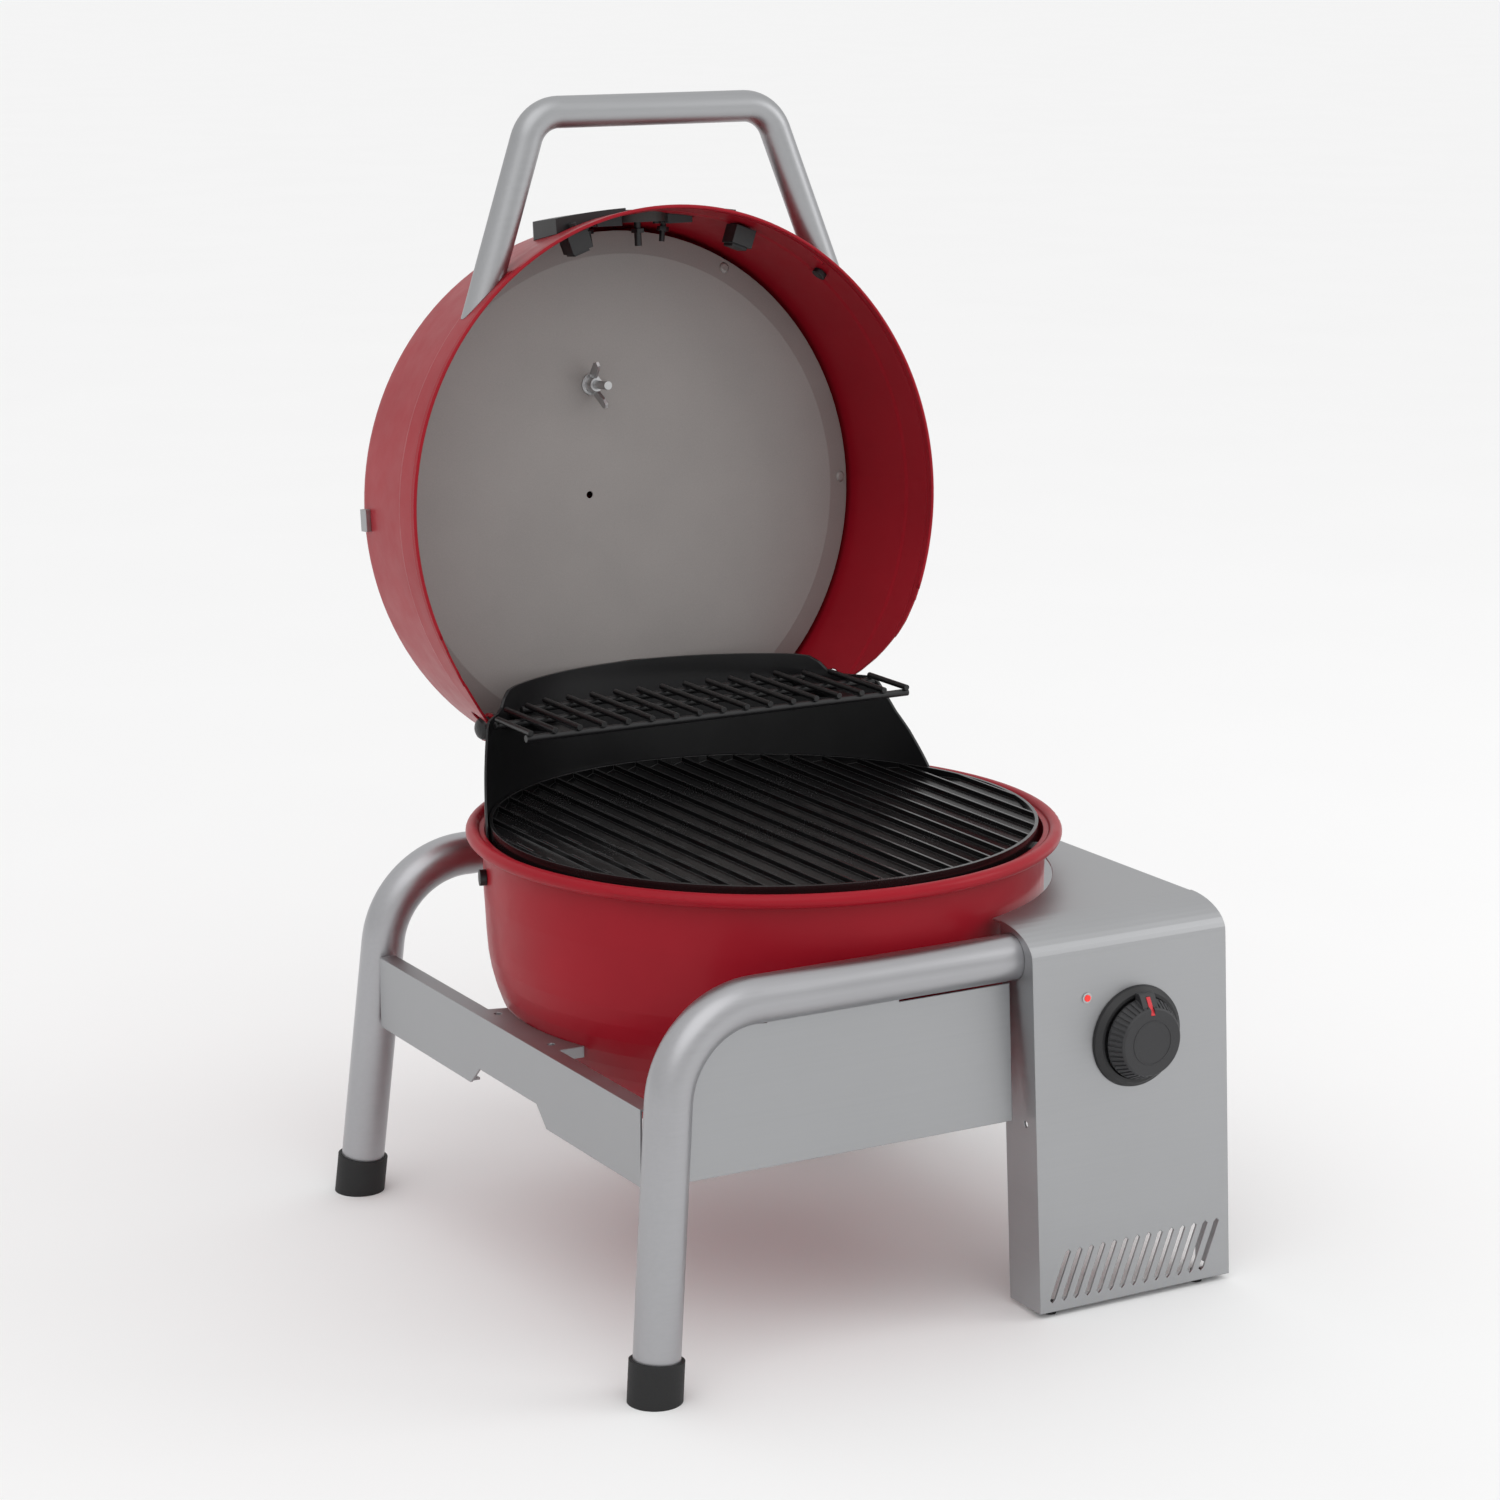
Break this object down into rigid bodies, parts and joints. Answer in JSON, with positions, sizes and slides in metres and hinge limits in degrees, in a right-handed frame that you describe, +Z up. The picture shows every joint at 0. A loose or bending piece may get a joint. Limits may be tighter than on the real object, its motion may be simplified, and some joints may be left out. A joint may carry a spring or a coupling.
{
  "type": "portable tabletop grill",
  "caption": "Tabletop electric grill on a bent-tube stand: round bowl under a hinged drum lid with a tube handle, cooking grate, warming rack and a control housing leg with a dial.",
  "frame": {"origin": "centre of the bounding box's footprint, on the table surface under the feet, with the lid open", "axes": "+Z up; -Y is the front, where the control knob is; +X is the user's right, where the control housing stands; the lid hinges at +Y"},
  "size_m": [0.448, 0.4924, 0.7686],
  "materials": {
    "steel": "brushed stainless steel",
    "fastener": "zinc-plated steel",
    "red_enamel": "gloss red porcelain enamel on steel",
    "liner": "warm grey satin coated sheet",
    "black_enamel": "satin black enamel",
    "pan": "dull aluminised sheet",
    "element": "dark oxidised sheath",
    "rubber": "matt black rubber",
    "black_plastic": "fine-grained black plastic",
    "ceramic": "unglazed cream insulator",
    "red_plastic": "translucent red plastic",
    "dial": "printed white dial",
    "glass": "clear gauge glass"
  },
  "bodies": {
    "stand": {"front_frame_tube": "steel", "rear_frame_tube": "steel", "foot_caps": "rubber", "front_panel": "steel", "left_rail": "steel", "right_rail": "steel", "housing_shell": "steel", "housing_feet": "rubber", "bowl": "red_enamel", "bowl_mount_bolts": "fastener", "shield_bolts": "black_enamel", "grate_rests": "black_enamel", "reflector_pan": "pan", "heating_element": "element", "element_flange": "fastener", "terminal_cover": "steel", "thermostat_body": "ceramic", "terminal_block": "ceramic", "indicator_lamp": "red_plastic", "lamp_ring": "fastener", "power_inlet": "black_plastic", "inlet_screws": "fastener", "knob_bezel": "black_plastic", "rear_shield": "black_enamel", "hinge_brackets": "black_enamel", "hinge_bolts": "black_enamel", "hinge_nuts": "fastener", "rack_brackets": "black_enamel"},
    "lid": {"lid_shell": "red_enamel", "lid_ears": "red_enamel", "lid_liner": "liner", "liner_rivets": "liner", "liner_stud": "fastener", "lid_handle": "steel", "handle_plugs": "fastener", "handle_screws": "fastener", "vent_bezel": "black_plastic", "vent_clips": "black_plastic", "bezel_screws": "black_enamel", "thermometer_body": "fastener", "thermometer_dial": "dial", "thermometer_glass": "glass", "thermometer_stem": "black_enamel", "lid_clip": "steel"},
    "wing_nut": {"liner_wing_nut": "fastener"},
    "gauge_needle": {"thermometer_needle": "red_plastic"},
    "knob": {"control_knob": "black_plastic", "knob_pointer": "red_plastic", "knob_shaft": "fastener"},
    "grate": {"cooking_grate": "black_enamel"},
    "rack": {"warming_rack": "black_enamel"}
  },
  "joints": [
    {"name": "lid_hinge", "type": "hinge", "parent": "stand", "child": "lid", "pos_m": [-0.00188, 0.14843, 0.3434], "axis": [1, 0, 0], "range_deg": [0, 94.57]},
    {"name": "knob_turn", "type": "hinge", "parent": "stand", "child": "knob", "pos_m": [0.14312, -0.22747, 0.182], "axis": [0, 1, 0], "range_deg": [0, 270]},
    {"name": "grate_lift", "type": "slide", "parent": "stand", "child": "grate", "axis": [0, 0, -1], "range_m": [-0.04, 0]},
    {"name": "rack_lift", "type": "slide", "parent": "stand", "child": "rack", "axis": [0, 0, -1], "range_m": [-0.06, 0]},
    {"name": "wing_nut_spin", "type": "hinge", "parent": "lid", "child": "wing_nut", "pos_m": [-0.02388, 0.19985, 0.56631], "axis": [0, 0.9968, -0.0797], "continuous": true},
    {"name": "needle_swing", "type": "hinge", "parent": "lid", "child": "gauge_needle", "pos_m": [-0.00188, 0.1772, 0.68449], "axis": [0, 0.0797, 0.9968], "range_deg": [0, 270]}
  ]
}
